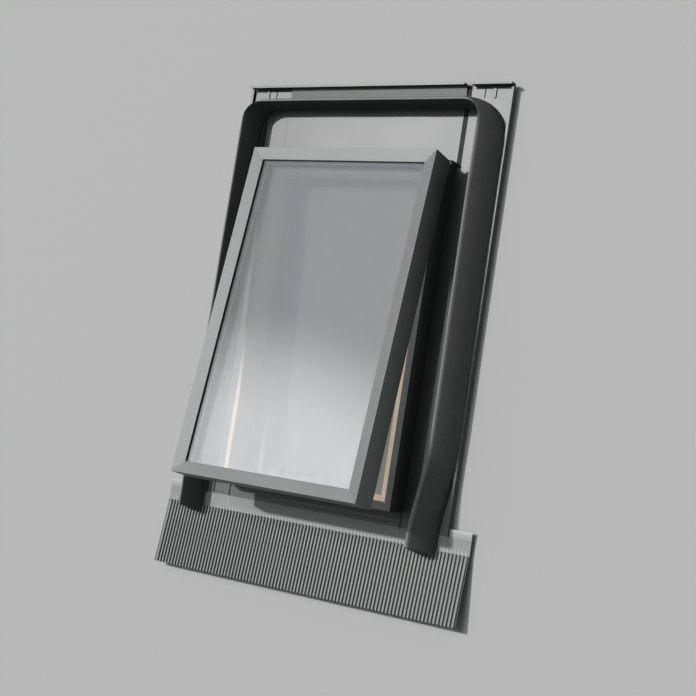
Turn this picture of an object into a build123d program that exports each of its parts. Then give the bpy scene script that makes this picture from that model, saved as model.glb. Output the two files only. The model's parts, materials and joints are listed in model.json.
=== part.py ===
from build123d import *
import os
from math import sin, cos, tan, radians, sqrt

# Driving dimensions, in millimetres. X runs across, Y up the slope, Z out of the roof.
# The frame rests on Z = 0, and the flashing sheets lie at sheet_level above that.
frame_width = 480.0  # over the timber, without its cladding
frame_length = 784.0  # sill to head
frame_depth = 68.0
jamb_thickness = 26.0
sill_thickness = 31.0
head_thickness = 30.0
frame_screw_bore = 6.0  # holes for the screws that fix the frame to the battens
frame_screw_head = 10.0
frame_screw_sink = 5.0
frame_screw_from_side = 90.0

cladding_thickness = 1.0
cladding_flange = 15.0  # how far it covers the top of the jambs
sill_flange = 18.0
sill_return = 140.0  # length of the sill cladding round the corner
cladding_screw_places = (29.0, 94.0)  # from the outer face of the sill

sheet_level = 10.0
sheet_thickness = 0.8
sheet_side = 123.5  # from the timber to the outer edge of the side sheets
upstand_height = 40.0  # of the sheets against the frame
edge_upturn = 8.0
edge_upturn_thickness = 1.5
edge_lip = 6.0  # folded back inwards along the top of the upturned edge
apron_reach = 222.0  # from the sill's outer face to the apron's lower edge
head_reach = 195.0  # from the head's outer face to the top hem
side_sheet_start = 188.0  # above the apron's lower edge
crease_from_foam = 18.0
crease_height = 2.5
crease_width = 2.0
bead_from_foam = 7.0
bead_width = 11.0
bead_height = 2.5
foam_stop_height = 12.0
foam_stop_thickness = 1.4
head_sheet_side = 4.0  # of the head sheet, beyond the timber
head_joint_gap = 12.0  # open joint at the right of the head sheet
joint_strip_lap = 6.0
joint_strip_thickness = 1.2
hem_height = 20.0
hem_lip = 5.0
hem_thickness = 1.4
ramp_length = 27.0  # top strip of the head sheet that rises to the hem
ramp_rise = 5.0

apron_overhang = 56.0  # beyond the side sheets
apron_strip = 51.0  # flat part, from the pleats to the upper edge
apron_hem = 19.0
apron_thickness = 1.0
pleat_length = 155.0
pleat_pitch = 9.16
pleat_start = 5.0  # from the apron's left edge to the first pleat
pleat_height = 4.0
pleat_ridge = 5.2  # width of a ridge's top
pleat_slope = 1.1  # width of one flank
apron_lean = 7.1  # degrees, how far the pleated part bends forward
rivet_head = 5.0
rivet_from_timber = (-26.0, 23.0)
corner_joint = 3.0  # open joint between the side sheet and the sill sheet
relief_cut_from_crease = 3.5
relief_cut_width = 3.0
relief_cut_length = 27.0
tab_inner_gap = 0.6

foam_from_timber = 68.0
foam_height = 68.0
foam_leg_width = 50.0
foam_bar_width = 23.5
foam_inner_radius = 35.0
foam_outer_radius = 80.0
foam_bar_offset = 139.0  # from the head's outer face to the foam's inner face
foam_end = 143.0  # above the apron's lower edge
foam_leg_lean = 10.0  # how far the crest leans outwards from the foam's inner foot
foam_bar_lean = 2.0

sash_overhang_side = 10.0
sash_overhang_sill = 7.0
sash_overhang_head = 6.5
sash_top = 119.0  # height of the closed face
skirt_depth = 68.0
head_skirt_depth = 45.0
cover_thickness = 2.0
bevel_width = 28.0
bevel_drop = 7.5
bevel_edge_radius = 0.8
glass_level = 12.0  # below the face's outer edge
pane_thickness = 4.0
pane_gap = 16.0
glass_inset = 18.0  # from the sash's outer edge to the glass edge
glazing_gasket = 2.0
core_inner = 30.0  # from the outer edge to the core's inner face
core_thickness = 8.0
core_web_place = 12.0
core_web = 2.0
spacer_width = 7.0
sealant_width = 5.0
seal_height = 3.6
seal_width = 5.5
seal_place = 19.0
cleat_leg = 45.0
cleat_height = 24.0
sash_screw = 4.0

hinge_from_head = 7.0  # axis beyond the head's outer face
hinge_level = 60.0
hinge_from_side = 90.0  # from the timber's outer face
hinge_pin = 4.0
hinge_knuckle = 9.0  # outer diameter
hinge_knuckle_length = 16.0
hinge_leaf = 2.0
hinge_leaf_height = 30.0
hinge_clearance = 0.3
sash_opening = 8.15  # degrees, as it stands

stay_from_edge = 47.0  # pivot from the sash's lower edge
stay_drop = 10.0  # pivot below the core
stay_length = 155.0
stay_width = 18.0
stay_thickness = 3.0
stay_pin = 5.0
stay_hole_clearance = 0.8
peg_diameter = 6.0
peg_level = 40.0
peg_reach = 10.0
peg_plate = 24.0
bracket_width = 30.0
bracket_sheet = 2.0

fit = 0.3  # clearance between pieces that move past each other

# Derived places
half_frame = frame_width / 2
sheet_half_width = half_frame + sheet_side
head_sheet_half_width = half_frame + head_sheet_side
apron_width = 2 * (sheet_half_width + apron_overhang)
foam_inner_half = half_frame + foam_from_timber
crease_place = foam_inner_half - crease_from_foam
bead_place = foam_inner_half + bead_from_foam
sash_width = frame_width + 2 * sash_overhang_side
sash_length = frame_length + sash_overhang_sill + sash_overhang_head
total_length = apron_reach + frame_length + head_reach
bottom_y = -total_length / 2
top_y = total_length / 2
sill_y = bottom_y + apron_reach
head_y = sill_y + frame_length
clad = half_frame + cladding_thickness
sheet_top = sheet_level + sheet_thickness
sash_low = sill_y - sash_overhang_sill
sash_high = sash_low + sash_length
hinge_y = head_y + hinge_from_head
hinge_place = half_frame - hinge_from_side
hinge_axis = Axis((0, hinge_y, hinge_level), (1, 0, 0))
core_top = glass_level + 2 * pane_thickness + pane_gap + glazing_gasket
core_under = core_top + core_thickness
sash_ring = (sash_width, sash_low, sash_high, sash_top)
pleat_top_y = bottom_y + pleat_length * cos(radians(apron_lean))
strip_top_y = pleat_top_y + apron_strip
far = 2 * total_length  # longer than anything it cuts


def box(x0, x1, y0, y1, z0, z1):
    """A block between two corners."""
    size = (abs(x1 - x0), abs(y1 - y0), abs(z1 - z0))
    return Pos((x0 + x1) / 2, (y0 + y1) / 2, (z0 + z1) / 2) * Box(*size)


def cylinder(start, end, diameter):
    """A round bar from one point to another."""
    start, end = Vector(*start), Vector(*end)
    plane = Plane(origin=start, z_dir=end - start)
    return extrude(plane * Circle(diameter / 2), (end - start).length)


def prism(points, direction):
    """The polygon of 3-D points, carried along a direction."""
    face = Face(Wire.make_polygon([Vector(*p) for p in points], close=True))
    return Part([Solid.extrude(face, Vector(*direction))])


def along_y(section, y0, y1):
    """A section of (x, z) points, carried from y0 to y1."""
    return prism([(x, y0, z) for x, z in section], (0, y1 - y0, 0))


def along_x(section, x0, x1):
    """A section of (y, z) points, carried from x0 to x1."""
    return prism([(x0, y, z) for y, z in section], (x1 - x0, 0, 0))


def mirrored(shape):
    """The same piece on the other side of the middle."""
    return mirror(shape, Plane.YZ)


def mitre(side, ring, reach):
    """The trapezoid of a rectangular ring that one of its four rails fills."""
    width, low, high, top = ring
    half = width / 2
    corners = {
        "left": [(-half, low), (-half, high), (-half + reach, high - reach), (-half + reach, low + reach)],
        "right": [(half, low), (half, high), (half - reach, high - reach), (half - reach, low + reach)],
        "bottom": [(-half, low), (half, low), (half - reach, low + reach), (-half + reach, low + reach)],
        "head": [(-half, high), (half, high), (half - reach, high - reach), (-half + reach, high - reach)],
    }[side]
    return prism([(x, y, top - far) for x, y in corners], (0, 0, 2 * far))


def straight_rail(section, side, ring):
    """A section of (in, down) points from the ring's outer top edge, along one side."""
    width, low, high, top = ring
    half = width / 2
    if side == "left":
        return along_y([(-half + u, top - w) for u, w in section], low, high)
    if side == "right":
        return along_y([(half - u, top - w) for u, w in section], low, high)
    if side == "bottom":
        return along_x([(low + u, top - w) for u, w in section], -half, half)
    return along_x([(high - u, top - w) for u, w in section], -half, half)


def rail(section, side, ring):
    """One side of a ring with its ends mitred."""
    reach = 2 * max(u for u, w in section)
    return straight_rail(section, side, ring) & mitre(side, ring, reach)


def whole_ring(section, ring):
    """All four sides of a ring in one piece."""
    width, low, high, top = ring
    inner = [min(u for u, w in section), max(u for u, w in section)]
    levels = [top - max(w for u, w in section), top - min(w for u, w in section)]
    outer_half, inner_half = width / 2 - inner[0], width / 2 - inner[1]
    outer = box(-outer_half, outer_half, low + inner[0], high - inner[0], *levels)
    hole = box(-inner_half, inner_half, low + inner[1], high - inner[1], levels[0] - 1, levels[1] + 1)
    return outer - hole


def countersunk(start, end, shank, head, sink):
    """A screw from the outer face of its head to its point, with a drive recess."""
    start, end = Vector(*start), Vector(*end)
    axis = (end - start).normalized()
    body = cylinder(start, end, shank)
    plane = Plane(origin=start, z_dir=axis)
    cone = loft([plane * Circle(head / 2), plane.offset(sink) * Circle(shank / 2)])
    slot = plane * Pos(0, 0, sink / 4) * Box(head * 0.7, head * 0.16, sink / 2)
    return body + cone - slot


def pan_screw(start, end, shank, head, rise):
    """A screw with a low round head that stands on the surface at start."""
    start, end = Vector(*start), Vector(*end)
    axis = (end - start).normalized()
    cap = extrude(Plane(origin=start - axis * rise, z_dir=axis) * Circle(head / 2), rise)
    cap = chamfer(cap.edges().sort_by(Axis(start, -axis))[-1], rise * 0.45)
    slot = Plane(origin=start - axis * rise, z_dir=axis) * Box(head * 0.7, head * 0.16, rise)
    return cylinder(start, end, shank) + cap - slot


def group(shapes):
    """Separate solids that share one node."""
    solids = []
    for shape in shapes:
        solids += shape.solids()
    return Compound(children=solids)


# Timber frame
corner_screw_length = 60.0
corner_screw_shank = 4.0
corner_screw_head = 8.0
corner_screw_sink = 2.5
corner_screw_levels = (0.25, 0.75)  # shares of the frame's depth
end_boards = ((sill_y + sill_thickness / 2), (head_y - head_thickness / 2))


def corner_screws():
    screws = []
    for y in end_boards:
        for share in corner_screw_levels:
            z = frame_depth * share
            screw = countersunk((half_frame, y, z), (half_frame - corner_screw_length, y, z),
                                corner_screw_shank, corner_screw_head, corner_screw_sink)
            screws += [screw, mirrored(screw)]
    return screws


def screw_hole(screw_start, screw_end, shank, head, sink):
    """The hole that a countersunk screw fills."""
    start, end = Vector(*screw_start), Vector(*screw_end)
    axis = (end - start).normalized()
    plane = Plane(origin=start, z_dir=axis)
    cone = loft([plane * Circle(head / 2), plane.offset(sink) * Circle(shank / 2)])
    return cylinder(start, end, shank) + cone


def corner_screw_holes():
    holes = []
    for y in end_boards:
        for share in corner_screw_levels:
            z = frame_depth * share
            hole = screw_hole((half_frame, y, z), (half_frame - corner_screw_length, y, z),
                              corner_screw_shank, corner_screw_head, corner_screw_sink)
            holes += [hole, mirrored(hole)]
    return holes


def fixing_bore(x, y):
    """A counterbored hole down through a board, for a screw into the batten below."""
    hole = cylinder((x, y, -1), (x, y, frame_depth + 1), frame_screw_bore)
    sink = cylinder((x, y, frame_depth - frame_screw_sink), (x, y, frame_depth + 1), frame_screw_head)
    return hole + sink


def timber_frame():
    inner = half_frame - jamb_thickness
    holes = corner_screw_holes()
    jamb = box(inner, half_frame, sill_y, head_y, 0, frame_depth)
    sill = box(-inner, inner, sill_y, sill_y + sill_thickness, 0, frame_depth)
    head = box(-inner, inner, head_y - head_thickness, head_y, 0, frame_depth)
    right, left = jamb, mirrored(jamb)
    for hole in holes:
        if hole.center().X > 0:
            right -= hole
        else:
            left -= hole
        if hole.center().Y < (sill_y + head_y) / 2:
            sill -= hole
        else:
            head -= hole
    screw_x = half_frame - frame_screw_from_side
    for x in (-screw_x, screw_x):
        sill -= fixing_bore(x, sill_y + (sill_thickness + sill_flange) / 2)
        head -= fixing_bore(x, head_y - (head_thickness + cladding_flange) / 2)
    for bore in clad_screw_bores():
        if bore.center().X > 0:
            right -= bore
        else:
            left -= bore
    return {"frame_jamb_right": right, "frame_jamb_left": left, "frame_sill": sill,
            "frame_head": head, "frame_corner_screws": group(corner_screws())}


# Cladding of the frame: a thin angle that covers the outer side and the outer part of the top
clad_low = sheet_level
clad_top = frame_depth + cladding_thickness
clad_screw_shank = 3.0
clad_screw_head = 6.5
clad_screw_rise = 1.6
clad_screw_length = 18.0


def angle_section(flange):
    """(in, down) points of the cladding, from its outer top edge."""
    t = cladding_thickness
    depth = clad_top - clad_low
    return [(0, 0), (flange + t, 0), (flange + t, t), (t, t), (t, depth), (0, depth)]


def clad_screw_points():
    x = half_frame - cladding_flange * 0.36
    sill_side = [(x, sill_y + place) for place in cladding_screw_places]
    head_side = [(x, head_y - place) for place in cladding_screw_places]
    return sill_side + head_side


def cladding():
    ring = (2 * clad, sill_y - cladding_thickness, head_y + cladding_thickness, clad_top)
    split = sill_y + sill_return
    jamb = rail(angle_section(cladding_flange), "right", ring)
    upper = jamb & box(0, far, split, far, 0, far)
    lower = jamb & box(0, far, -far, split, 0, far)
    front = rail(angle_section(sill_flange), "bottom", ring)
    sill = front + lower + mirrored(lower)
    head = rail(angle_section(cladding_flange), "head", ring)
    for bore in clad_screw_bores():
        if bore.center().Y < split:
            sill -= bore
        elif bore.center().X > 0:
            upper -= bore
    screws = []
    for x, y in clad_screw_points():
        screw = pan_screw((x, y, clad_top), (x, y, clad_top - clad_screw_length),
                          clad_screw_shank, clad_screw_head, clad_screw_rise)
        screws += [screw, mirrored(screw)]
    return {"frame_cladding_right": upper, "frame_cladding_left": mirrored(upper),
            "frame_cladding_head": head, "frame_cladding_sill": sill,
            "cladding_screws": group(screws)}


def clad_screw_bores():
    bores = []
    for x, y in clad_screw_points():
        bore = cylinder((x, y, clad_top + 1), (x, y, clad_top - clad_screw_length), clad_screw_shank)
        bores += [bore, mirrored(bore)]
    return bores


# Flashing sheets
side_low = bottom_y + side_sheet_start
foam_bar_y = head_y + foam_bar_offset
side_front = sill_y - cladding_thickness - sheet_thickness


def side_sheet(joint_gap):
    """The right side sheet, with its inner edge beyond the head set back by joint_gap."""
    t = sheet_thickness
    inner, outer = clad, sheet_half_width
    head_front = head_y + cladding_thickness
    sheet = box(inner, outer, side_low, top_y, sheet_level, sheet_top)
    sheet += box(inner, inner + t, side_front, head_front, sheet_level, sheet_level + upstand_height)
    turned_up = outer - edge_upturn_thickness
    edge_top = sheet_level + edge_upturn
    sheet += box(turned_up, outer, side_low, top_y, sheet_level, edge_top)
    sheet += box(outer - edge_lip, outer, side_low, top_y - hem_lip, edge_top - sheet_thickness, edge_top)
    stop_outer = foam_inner_half - fit
    sheet += box(stop_outer - foam_stop_thickness, stop_outer, side_low, foam_bar_y - foam_inner_radius,
                 sheet_level, sheet_level + foam_stop_height)
    half = crease_width / 2
    crease = [(crease_place - half, sheet_level), (crease_place - half, sheet_top),
              (crease_place, sheet_top + crease_height), (crease_place + half, sheet_top),
              (crease_place + half, sheet_level)]
    bead_low = foam_bar_y + foam_bar_width + fit
    past_turn = crease_place + half - (foam_inner_half - foam_inner_radius)
    crease_high = foam_bar_y - foam_inner_radius + sqrt(foam_inner_radius ** 2 - past_turn ** 2) - fit
    sheet += along_y(crease, side_front, crease_high) + along_y(crease, bead_low, top_y - hem_lip)
    half = bead_width / 2
    bead = [(bead_place - half, sheet_level), (bead_place - half * 0.6, sheet_top + bead_height),
            (bead_place + half * 0.6, sheet_top + bead_height), (bead_place + half, sheet_level)]
    sheet += along_y(bead, bead_low, top_y - hem_lip)
    head_cut = head_sheet_half_width + joint_gap
    sheet -= box(0, head_cut, head_front, far, -far, far)
    sheet -= relief_cut()
    return sheet + hem(head_cut, outer)


def relief_cut():
    """The saw cut at the side sheet's lower edge, which also goes through the apron's strip."""
    middle, half = crease_place - relief_cut_from_crease, relief_cut_width / 2
    return box(middle - half, middle + half, side_low, side_low + relief_cut_length, -far, far)


def corner_cut():
    """The opening in the apron's strip below the joint between the side sheet and the sill sheet."""
    return box(clad - corner_joint, clad, side_low, strip_top_y + 1, -far, far)


def hem(x0, x1):
    """The upturned top edge, with its lip folded back over the sheet."""
    t = hem_thickness
    z1 = sheet_level + hem_height
    wall = box(x0, x1, top_y - t, top_y, sheet_level, z1)
    lip = box(x0, x1, top_y - hem_lip, top_y, z1 - t, z1)
    return wall + lip


def head_sheet():
    t = sheet_thickness
    half = head_sheet_half_width
    low = head_y + cladding_thickness
    ramp_low, ramp_high = top_y - hem_thickness - ramp_length, top_y - hem_thickness
    step = sheet_top + ramp_rise * 0.25  # the fold at the foot of the ramp
    flat = box(-half, half, low, ramp_low + t, sheet_level, sheet_top)
    ramp = along_x([(ramp_low, sheet_level), (ramp_low, step), (ramp_high, sheet_top + ramp_rise),
                    (ramp_high, sheet_level)], -half, half)
    upstand = box(-half, half, low, low + t, sheet_level, sheet_level + upstand_height)
    return flat + ramp + upstand + hem(-half, half)


def joint_strip():
    """The dark strip under the open joint, between the head sheet and the right side sheet."""
    low = head_y + cladding_thickness + fit
    inner = head_sheet_half_width - joint_strip_lap
    outer = head_sheet_half_width + head_joint_gap + joint_strip_lap
    return box(inner, outer, low, top_y - hem_thickness, sheet_level - joint_strip_thickness, sheet_level)


def sill_sheet():
    half = clad - corner_joint
    flat = box(-half, half, side_low, sill_y - cladding_thickness, sheet_level, sheet_top)
    upstand = box(-half, half, side_front, sill_y - cladding_thickness, sheet_level,
                  sheet_level + upstand_height * 0.6)
    return flat + upstand


# Apron: a flat strip with folded tabs at its ends, then the pleats
def pleat_outline():
    """(x, z) points of the pleated sheet's upper face, ridge by ridge."""
    count = int((apron_width - pleat_start) / pleat_pitch)
    start = pleat_start - apron_width / 2
    margin = (pleat_pitch - pleat_ridge) / 2
    shoulder = pleat_height * 0.72
    points = [(-apron_width / 2, 0)]
    for number in range(count):
        x = start + number * pleat_pitch + margin
        end = x + pleat_ridge
        points += [(x, 0), (x + pleat_slope, shoulder), (x + pleat_ridge * 0.36, pleat_height),
                   (end - pleat_ridge * 0.36, pleat_height), (end - pleat_slope, shoulder), (end, 0)]
    return points + [(apron_width / 2, 0)]


def apron():
    t = apron_thickness
    upper = [(x, sheet_level + z) for x, z in pleat_outline()]
    lower = [(x, z - t) for x, z in reversed(upper)]
    lean = radians(apron_lean)
    section = [(x, pleat_top_y, z) for x, z in upper + lower]
    pleats = prism(section, (0, -pleat_length * cos(lean), pleat_length * sin(lean)))
    half = apron_width / 2
    sheet = pleats + box(-half, half, pleat_top_y - t, strip_top_y, sheet_level - t, sheet_level)
    tab_inner = sheet_half_width + tab_inner_gap
    for side in (-1, 1):
        sheet += box(side * tab_inner, side * half, strip_top_y - apron_hem, strip_top_y,
                     sheet_level - t, sheet_level + t)
    return sheet


rivet_y = strip_top_y - apron_hem / 2
rivet_shank = 3.0
rivet_rise = 1.5


def rivets():
    """Two rivets at each side, through the flashing sheets into the apron's strip."""
    shapes = []
    bores = []
    for x in (half_frame + shift for shift in rivet_from_timber):
        for side in (-1, 1):
            base = Plane((side * x, rivet_y, sheet_top))
            shank = extrude(base * Circle(rivet_shank / 2), -(sheet_top - sheet_level + apron_thickness))
            dome = loft([base * Circle(rivet_head / 2), base.offset(rivet_rise) * Circle(rivet_head / 4)])
            shapes.append(shank + dome)
            bores.append(shank)
    return shapes, bores


def flashing():
    shapes, bores = rivets()
    right, left = side_sheet(head_joint_gap), mirrored(side_sheet(0))
    sill, pleated = sill_sheet(), apron()
    for cut in (relief_cut(), corner_cut()):
        pleated -= cut
        pleated -= mirrored(cut)
    for bore in bores:
        pleated -= bore
        if abs(bore.center().X) < clad:
            sill -= bore
        elif bore.center().X > 0:
            right -= bore
        else:
            left -= bore
    return {"side_flashing_right": right, "side_flashing_left": left, "head_flashing": head_sheet(),
            "head_joint_strip": joint_strip(), "sill_flashing": sill, "pleated_apron": pleated,
            "flashing_rivets": group(shapes)}


# Foam gasket: a U-shaped wedge, steep inside and sloping down outside
# Its section from the foot to the crest, as shares of the height, the width and the lean
foam_profile = [(0.0, 1.0, 0.0), (0.08, 0.92, 0.02), (0.36, 0.82, 0.15), (0.56, 0.72, 0.35),
                (0.76, 0.56, 0.6), (0.9, 0.4, 0.82), (0.98, 0.3, 0.96), (1.0, 0.27, 1.0)]
plug_size = (12.0, 11.0, 24.0)


def foam_outline(width_share, lean_share, z, end_y):
    """The U at one level, with round corners inside and outside."""
    outer = foam_inner_half + foam_leg_width * width_share
    inner = foam_inner_half + foam_leg_lean * lean_share
    top = foam_bar_y + foam_bar_width * width_share
    low = foam_bar_y + foam_bar_lean * lean_share
    big = foam_inner_radius + (foam_outer_radius - foam_inner_radius) * width_share
    small = foam_inner_radius
    turn = 1 - sqrt(0.5)

    def corner(x, y, radius, inward):
        """The arc of a corner whose square point is (x, y), from its first tangent point."""
        side = 1 if x > 0 else -1
        first = (x, y - radius, z)
        middle = (x - side * radius * turn, y - radius * turn, z)
        last = (x - side * radius, y, z)
        ends = (first, middle, last) if inward else (last, middle, first)
        return ThreePointArc(*ends)

    points = [(-outer, end_y, z), (-outer, top - big, z), (-outer + big, top, z), (outer - big, top, z),
              (outer, top - big, z), (outer, end_y, z), (inner, end_y, z), (inner, low - small, z),
              (inner - small, low, z), (-inner + small, low, z), (-inner, low - small, z), (-inner, end_y, z)]
    edges = [Line(points[0], points[1]), corner(-outer, top, big, True), Line(points[2], points[3]),
             corner(outer, top, big, False), Line(points[4], points[5]), Line(points[5], points[6]),
             Line(points[6], points[7]), corner(inner, low, small, True), Line(points[8], points[9]),
             corner(-inner, low, small, False), Line(points[10], points[11]), Line(points[11], points[0])]
    return Wire([edge.edge() for edge in edges])


def foam_gasket():
    end_y = bottom_y + foam_end
    levels = [foam_outline(width, lean, sheet_top + height * foam_height, end_y)
              for height, width, lean in foam_profile]
    foam = Part([Solid.make_loft(levels, ruled=True)])
    overlap = pleat_top_y - end_y
    pleat_reach = sheet_level + pleat_height + overlap * tan(radians(apron_lean)) + fit
    return foam - box(-far, far, -far, pleat_top_y + fit, -far, pleat_reach)


def corner_plug():
    width, length, height = plug_size
    y = head_y + cladding_thickness + sheet_thickness
    x = head_sheet_half_width
    return box(x - width, x, y, y + length, sheet_top, sheet_top + height)


# Sash, drawn closed and then opened about the hinge axis
def cover_section(depth):
    """Outer wall and bevelled face, in (in, down) points."""
    t = cover_thickness
    slope = bevel_drop / bevel_width
    under = t * sqrt(1 + slope ** 2)
    lip = bevel_width - t
    lip_low = glass_level - glazing_gasket
    return [(0, 0), (bevel_width, bevel_drop), (bevel_width, lip_low), (lip, lip_low),
            (lip, lip * slope + under), (t, t * slope + under), (t, depth), (0, depth)]


def rounded(piece):
    """The sharp outer top edges of a cover, made a little round."""
    edges = [e for e in piece.edges()
             if abs(e.center().Z - sash_top) < 1e-6 and e.length > sash_width * 0.9]
    return fillet(edges, bevel_edge_radius)


def sash_covers():
    pieces = {}
    for side in ("left", "right", "bottom", "head"):
        depth = head_skirt_depth if side == "head" else skirt_depth
        pieces["sash_cover_" + side] = rounded(rail(cover_section(depth), side, sash_ring))
    return pieces


def core_section():
    slope = bevel_drop / bevel_width
    web_end = core_web_place + core_web
    web_top = web_end * slope + cover_thickness * sqrt(1 + slope ** 2) + fit
    return [(cover_thickness, core_top), (core_web_place, core_top), (core_web_place, web_top),
            (web_end, web_top), (web_end, core_top), (core_inner, core_top),
            (core_inner, core_under), (cover_thickness, core_under)]


cleat_in = cover_thickness + fit
cleat_out = core_web_place - fit
cleat_screw_place = (cover_thickness + core_web_place) / 2
cleat_screw_from_corner = cleat_leg * 0.7
cleat_screw_length = core_thickness + cleat_height * 0.7


def ring_corners():
    """(x, y, inward x, inward y) of the sash's four corners."""
    width, low, high, top = sash_ring
    half = width / 2
    return [(sx * half, low if sy > 0 else high, -sx, sy) for sx in (-1, 1) for sy in (-1, 1)]


def cleat(x, y, dx, dy):
    z0, z1 = sash_top - core_top, sash_top - core_top + cleat_height
    along = box(x + dx * cleat_in, x + dx * cleat_leg, y + dy * cleat_in, y + dy * cleat_out, z0, z1)
    up = box(x + dx * cleat_in, x + dx * cleat_out, y + dy * cleat_in, y + dy * cleat_leg, z0, z1)
    return along + up


def sash_screw_points():
    points = []
    for x, y, dx, dy in ring_corners():
        points.append((x + dx * cleat_screw_from_corner, y + dy * cleat_screw_place))
        points.append((x + dx * cleat_screw_place, y + dy * cleat_screw_from_corner))
    return points


def sash_cores():
    """Core rails, corner cleats, and the screws that join them from below."""
    cores = {side: rail(core_section(), side, sash_ring) for side in ("left", "right", "bottom", "head")}
    cleats = [cleat(*corner) for corner in ring_corners()]
    screws = []
    under = sash_top - core_under
    head, sink = sash_screw * 2, sash_screw * 0.5
    for x, y in sash_screw_points():
        ends = ((x, y, under), (x, y, under + cleat_screw_length))
        hole = screw_hole(*ends, sash_screw, head, sink)
        screws.append(countersunk(*ends, sash_screw, head, sink))
        cores = {side: core - hole for side, core in cores.items()}
        cleats = [piece - hole for piece in cleats]
    for x, y in hinge_screw_points():
        bore = cylinder((x, y, under - 1), (x, y, under + core_thickness * 0.8), hinge_screw)
        cores["head"] -= bore
    for x, y in bracket_screw_points():
        bore = cylinder((x, y, under - 1), (x, y, under + core_thickness * 0.8), bracket_screw)
        cores["bottom"] -= bore
    pieces = {"sash_core_" + side: core for side, core in cores.items()}
    pieces["sash_corner_cleats"] = group(cleats)
    pieces["sash_corner_screws"] = group(screws)
    return pieces


block_length = 28.0
block_from_corner = 90.0


def ring_part(inner_u, outer_u, upper_w, lower_w):
    """A rectangular ring between two insets and two depths."""
    return whole_ring([(inner_u, upper_w), (outer_u, lower_w)], sash_ring)


def pane(level):
    width, low, high, top = sash_ring
    half = width / 2 - glass_inset
    return box(-half, half, low + glass_inset, high - glass_inset, top - level - pane_thickness, top - level)


def setting_blocks():
    width, low, high, top = sash_ring
    u0, u1 = core_web_place + core_web, glass_inset
    z0, z1 = top - core_top + 1, top - glass_level - pane_thickness / 2
    blocks = []
    for x, y, dx, dy in ring_corners():
        a, b = block_from_corner, block_from_corner + block_length
        blocks.append(box(x + dx * a, x + dx * b, y + dy * u0, y + dy * u1, z0, z1))
        blocks.append(box(x + dx * u0, x + dx * u1, y + dy * a, y + dy * b, z0, z1))
    return group(blocks)


def glazing():
    gap_top = glass_level + pane_thickness
    gap_low = gap_top + pane_gap
    sealant_in = glass_inset + sealant_width
    gasket_lip = bevel_width + 1.0
    inner_gasket_top = gap_low + pane_thickness
    outer_gasket = ring_part(glass_inset + 3, gasket_lip, glass_level - glazing_gasket, glass_level)
    return {"outer_pane": pane(glass_level), "inner_pane": pane(gap_low),
            "edge_sealant": ring_part(glass_inset, sealant_in, gap_top, gap_low),
            "spacer_bar": ring_part(sealant_in, sealant_in + spacer_width, gap_top, gap_low),
            "outer_glazing_gasket": outer_gasket,
            "inner_glazing_gasket": ring_part(glass_inset + 1, core_inner, inner_gasket_top, core_top),
            "setting_blocks": setting_blocks(),
            "sash_seal": ring_part(seal_place, seal_place + seal_width, core_under, core_under + seal_height)}


# Hinges: knuckles on one pin, the frame leaf outside the head, the sash leaf under the core
hinge_screw = 3.5
leaf_half = 1.5 * hinge_knuckle_length
sash_leaf_end = sash_high - (seal_place - 1)
frame_leaf_face = head_y + cladding_thickness + sheet_thickness
leaf_screw_shift = leaf_half * 0.6
leaf_screw_places = [side * hinge_place + shift for side in (-1, 1)
                     for shift in (-leaf_screw_shift, leaf_screw_shift)]


def hinge_screw_points():
    y = (sash_leaf_end + sash_high - cover_thickness) / 2
    return [(x, y) for x in leaf_screw_places]


def leaf_screw_points():
    z = hinge_level - hinge_leaf_height * 0.72
    return [(x, z) for x in leaf_screw_places]


def knuckle(x0, x1, bore):
    outer = cylinder((x0, hinge_y, hinge_level), (x1, hinge_y, hinge_level), hinge_knuckle)
    return outer - cylinder((x0 - 1, hinge_y, hinge_level), (x1 + 1, hinge_y, hinge_level), bore)


def frame_leaf(x):
    half = hinge_knuckle_length / 2
    low = hinge_level - hinge_leaf_height
    notch_top = hinge_level - hinge_knuckle / 2 - 2 * hinge_clearance
    plate = box(x - leaf_half, x + leaf_half, frame_leaf_face, frame_leaf_face + hinge_leaf, low, hinge_level)
    plate -= box(x - half - fit, x + half + fit, -far, far, notch_top, far)
    plate -= cylinder((x - far, hinge_y, hinge_level), (x + far, hinge_y, hinge_level), hinge_knuckle - 1)
    left = knuckle(x - leaf_half, x - half - fit, hinge_pin)
    right = knuckle(x + half + fit, x + leaf_half, hinge_pin)
    return plate + left + right


def sash_leaf(x):
    half = hinge_knuckle_length / 2
    z1 = sash_top - core_under
    z0 = z1 - hinge_leaf
    outer_y = hinge_y + hinge_leaf
    flat = box(x - leaf_half, x + leaf_half, sash_leaf_end, outer_y, z0, z1)
    web = box(x - half, x + half, hinge_y, outer_y, hinge_level, z1)
    web -= cylinder((x - far, hinge_y, hinge_level), (x + far, hinge_y, hinge_level), hinge_knuckle - 1)
    return flat + web + knuckle(x - half, x + half, hinge_pin + 2 * hinge_clearance)


def hinge_pin_at(x):
    reach = leaf_half + 0.8
    pin = cylinder((x - reach, hinge_y, hinge_level), (x + reach, hinge_y, hinge_level), hinge_pin)
    for side in (-1, 1):
        end = x + side * leaf_half
        pin += cylinder((end, hinge_y, hinge_level), (end + side * 1.5, hinge_y, hinge_level), hinge_pin + 2)
    return pin


# Stay bar: it hangs from the sash and its holes drop over a peg on the sill
bracket_screw = 3.5
pivot_closed = (0, sash_low + stay_from_edge, sash_top - core_under - stay_drop)
bracket_start = sash_low + seal_place + seal_width + 0.5
stay_knuckle = 9.0
ear_thickness = bracket_sheet
ear_inner = stay_width / 2 + fit


def opened(shape):
    """A sash piece, turned from closed to the angle at which the sash stands."""
    turned = [solid.rotate(hinge_axis, -sash_opening) for solid in shape.solids()]
    return Compound(children=turned)


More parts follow.
